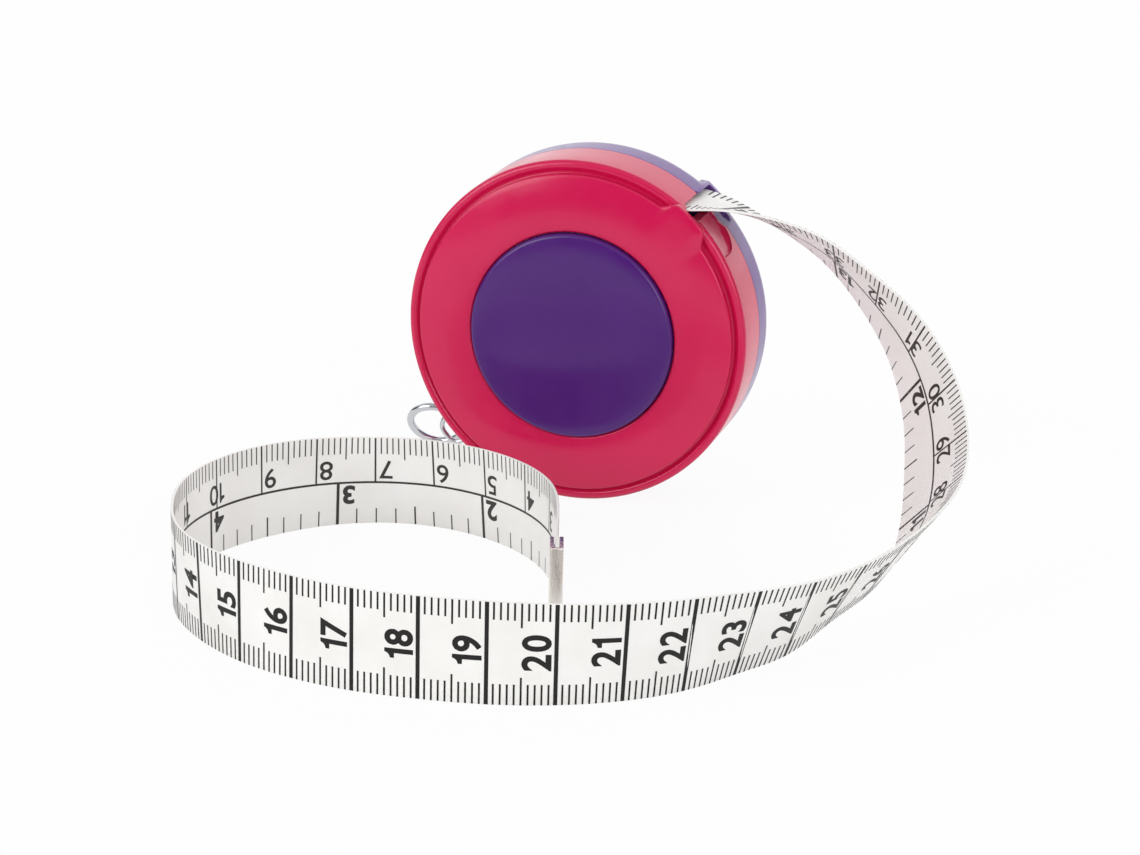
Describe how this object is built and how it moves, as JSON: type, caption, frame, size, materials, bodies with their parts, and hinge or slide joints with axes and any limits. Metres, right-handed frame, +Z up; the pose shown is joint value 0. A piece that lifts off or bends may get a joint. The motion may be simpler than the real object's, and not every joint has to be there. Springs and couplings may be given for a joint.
{
  "type": "retractable cloth tape measure",
  "caption": "Round retractable cloth tape measure with a two-tone case, a push button in the face, a key ring on a wire staple and a loop of tape pulled out to its folded metal end",
  "frame": {"origin": "on the front shell's lowest facet, where the case rests on the table", "axes": "+X to the right seen from the button side, +Y from the button side to the back along the reel's axis, +Z up"},
  "size_m": [0.1187, 0.1106, 0.0592],
  "materials": {
    "pink_plastic": "glossy moulded ABS",
    "purple_plastic": "glossy moulded ABS",
    "button_plastic": "satin moulded ABS",
    "inner_plastic": "natural moulded plastic",
    "chrome": "bright plated steel",
    "spring_steel": "rolled spring steel",
    "felt": "pressed felt",
    "tape_cloth": "coated woven tape with black printed scales"
  },
  "bodies": {
    "case": {"front_shell": "pink_plastic", "rear_shell": "purple_plastic", "ring_staple": "chrome", "axle": "spring_steel", "axle_clip": "spring_steel", "axle_screw": "chrome", "front_washer": "spring_steel", "rear_washer": "spring_steel", "button_guide": "inner_plastic", "mouth_pin": "chrome", "tape_lead": "tape_cloth", "free_tape": "tape_cloth", "tape_end_clip": "chrome", "button_spring": "spring_steel", "mainspring": "spring_steel"},
    "reel": {"reel_drum": "inner_plastic", "reel_brake_ring": "inner_plastic", "spring_cover": "inner_plastic", "tape_anchor_pin": "spring_steel", "wound_tape": "tape_cloth"},
    "button": {"push_button": "button_plastic", "brake_plate": "spring_steel", "brake_felt": "felt"},
    "ring": {"key_ring": "chrome"}
  },
  "joints": [
    {"name": "reel_spin", "type": "hinge", "parent": "case", "child": "reel", "pos_m": [0, 0, 0.02958], "axis": [0, 1, 0], "range_deg": [-900, 8400], "deforming": ["mainspring"]},
    {"name": "button_press", "type": "slide", "parent": "case", "child": "button", "axis": [0, 1, 0], "range_m": [0, 0.0014], "stiffness_N_per_m": 1500, "springref_m": -0.001, "deforming": ["button_spring"]},
    {"name": "ring_swing", "type": "hinge", "parent": "case", "child": "ring", "pos_m": [-0.02296, 0.0004, 0.00816], "axis": [0.9877, 0, 0.1564], "range_deg": [0, 112]}
  ]
}
